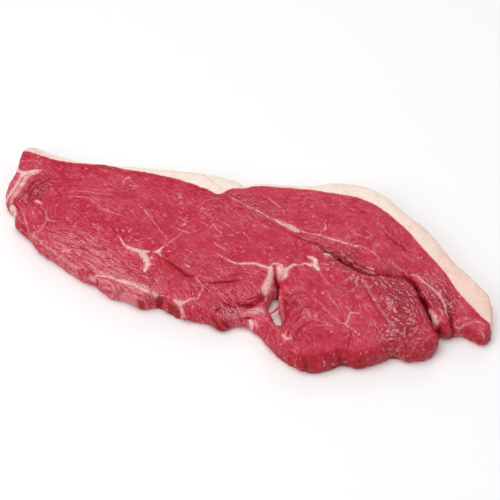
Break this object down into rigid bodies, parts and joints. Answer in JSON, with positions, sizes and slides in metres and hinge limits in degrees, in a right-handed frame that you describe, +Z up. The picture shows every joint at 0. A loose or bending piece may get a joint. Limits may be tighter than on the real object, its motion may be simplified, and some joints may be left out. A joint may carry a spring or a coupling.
{
  "type": "raw rump steak",
  "caption": "Flat slice of raw beef rump with a rind of fat along one long edge, a deep fissure between two muscles and a small tear near the front edge.",
  "frame": {"origin": "centre of the bounding box, on the flat underside the slice lies on", "axes": "+X along the slice, towards the pointed end of the rind; +Y towards the fat edge; +Z up through the thickness"},
  "size_m": [0.2914, 0.1682, 0.019],
  "materials": {
    "raw_beef": "moist satin lean meat, with a cream rind of fat along the back edge"
  },
  "bodies": {
    "root": {"rump_steak": "raw_beef"}
  },
  "joints": []
}
